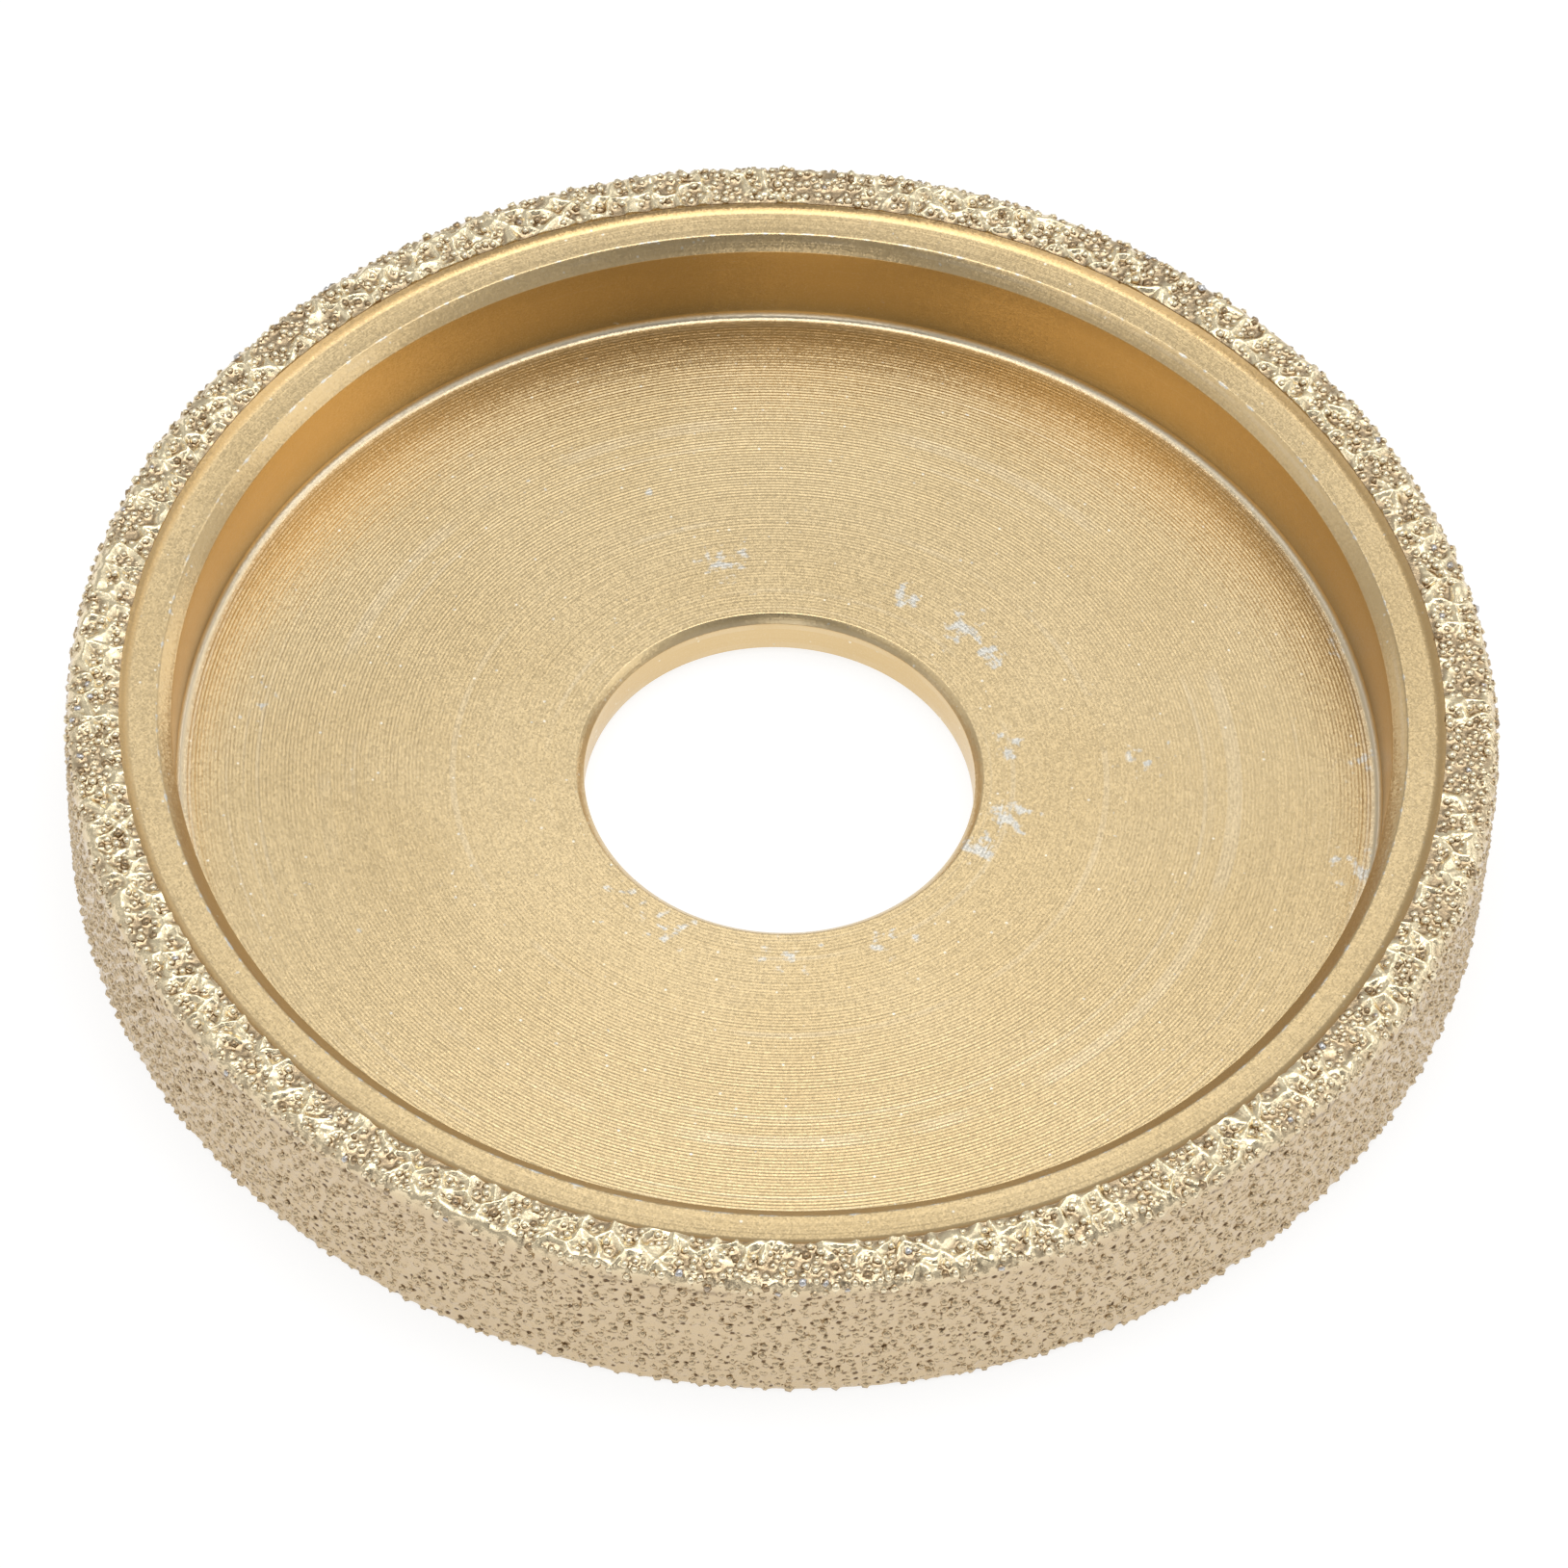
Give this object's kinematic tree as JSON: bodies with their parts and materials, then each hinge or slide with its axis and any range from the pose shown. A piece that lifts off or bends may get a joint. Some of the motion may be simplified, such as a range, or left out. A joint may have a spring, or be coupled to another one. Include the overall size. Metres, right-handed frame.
{
  "type": "diamond grinding wheel",
  "caption": "Cup-shaped steel edge-grinding wheel with a plain bore and a single layer of diamond crystals brazed over the rim's face, outer corner and side.",
  "frame": {"origin": "on the wheel's axis, in the plane of the flat back", "axes": "+Z along the axis, out of the open side of the recess; X and Y are any two directions across the wheel"},
  "size_m": [0.08, 0.08, 0.01],
  "materials": {
    "gold_lacquered_steel": "metallic gold lacquer over fine turning marks, worn to bare steel in places",
    "nickel_braze": "lumpy nickel-chrome filler under tan-gold lacquer",
    "diamond_crystal": "blocky translucent crystals, mostly coated with gold lacquer"
  },
  "bodies": {
    "root": {"steel_core": "gold_lacquered_steel", "braze_layer": "nickel_braze", "face_grit": "diamond_crystal", "shoulder_grit": "diamond_crystal", "side_grit": "diamond_crystal"}
  },
  "joints": []
}
